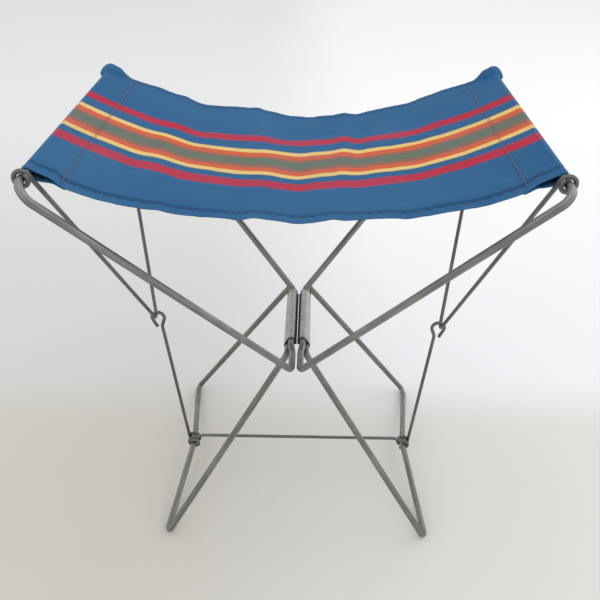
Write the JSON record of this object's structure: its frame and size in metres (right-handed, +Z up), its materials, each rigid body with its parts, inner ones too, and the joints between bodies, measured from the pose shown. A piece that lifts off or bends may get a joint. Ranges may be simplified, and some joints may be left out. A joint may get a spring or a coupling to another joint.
{
  "type": "folding camp stool",
  "caption": "Folding camp stool with crossed bent-rod seat and leg frames, sheet hinge sleeves, wire tension links and a sagging striped canvas seat.",
  "frame": {"origin": "on the floor, at the centre of the box around the stool, midway between the four feet", "axes": "+X to the sitter's right across the seat's width, +Y to the rear along the rods' centre lines, +Z up"},
  "size_m": [0.3933, 0.2935, 0.4332],
  "materials": {
    "seat_rod": "bare drawn steel rod, dull grey with satin highlights and a slight brown patina",
    "leg_rod": "bare drawn steel rod, dull grey with satin highlights and a slight brown patina",
    "sleeve_sheet": "zinc-coated sheet steel, pale grey-green, matt",
    "link_wire": "bare steel wire, dull dark grey",
    "canvas": "faded mid-blue cotton canvas with red, yellow, orange and grey-green stripes from side to side",
    "thread": "tan sewing thread",
    "hem_thread": "dark blue sewing thread"
  },
  "bodies": {
    "left_seat": {"left_seat_frame": "seat_rod", "left_hinge_sleeve": "sleeve_sheet", "seat_canvas": "canvas", "left_pocket_seam": "thread", "front_hem_seam": "hem_thread", "rear_hem_seam": "hem_thread"},
    "right_seat": {"right_seat_frame": "seat_rod", "right_hinge_sleeve": "sleeve_sheet", "right_pocket_seam": "thread"},
    "left_leg": {"left_leg_frame": "leg_rod"},
    "right_leg": {"right_leg_frame": "leg_rod"},
    "left_v": {"left_v_link": "link_wire"},
    "right_v": {"right_v_link": "link_wire"},
    "left_hook": {"left_hook_link": "link_wire"},
    "right_hook": {"right_hook_link": "link_wire"},
    "bottom_tie": {"bottom_tie_wire": "link_wire"}
  },
  "joints": [
    {"name": "seat_fold", "type": "hinge", "parent": "left_seat", "child": "right_seat", "pos_m": [0, 0, 0.2132], "axis": [0, -1, 0], "range_deg": [0, 70], "deforming": ["seat_canvas", "front_hem_seam", "rear_hem_seam"]},
    {"name": "left_leg_fold", "type": "hinge", "parent": "left_seat", "child": "left_leg", "pos_m": [-0.0089, 0, 0.2075], "axis": [0, 1, 0], "range_deg": [0, 105.5]},
    {"name": "right_leg_fold", "type": "hinge", "parent": "right_seat", "child": "right_leg", "pos_m": [0.0089, 0, 0.2075], "axis": [0, -1, 0], "range_deg": [0, 105.5]},
    {"name": "left_v_swing", "type": "hinge", "parent": "left_seat", "child": "left_v", "pos_m": [-0.1895, 0, 0.426], "axis": [0, -1, 0], "range_deg": [0, 16.6]},
    {"name": "right_v_swing", "type": "hinge", "parent": "right_seat", "child": "right_v", "pos_m": [0.1895, 0, 0.426], "axis": [0, 1, 0], "range_deg": [0, 24.1]},
    {"name": "left_hook_swing", "type": "hinge", "parent": "left_leg", "child": "left_hook", "pos_m": [-0.12507, 0.0043, 0.02429], "axis": [0, 1, 0], "range_deg": [0, 49.1]},
    {"name": "right_hook_swing", "type": "hinge", "parent": "right_leg", "child": "right_hook", "pos_m": [0.12507, 0.0043, 0.02429], "axis": [0, -1, 0], "range_deg": [0, 42.1]},
    {"name": "tie_swing", "type": "hinge", "parent": "left_leg", "child": "bottom_tie", "pos_m": [-0.12512, -0.0047, 0.02422], "axis": [0, -1, 0], "range_deg": [0, 42.1]}
  ],
  "couplings": [
    {"joint": "left_v_swing", "follows": "left_leg_fold", "ratio": 0.1564},
    {"joint": "left_hook_swing", "follows": "left_leg_fold", "ratio": 0.46446},
    {"joint": "tie_swing", "follows": "left_leg_fold", "ratio": 0.3981},
    {"joint": "right_v_swing", "follows": "right_leg_fold", "ratio": 0.22749},
    {"joint": "right_hook_swing", "follows": "right_leg_fold", "ratio": 0.3981}
  ]
}
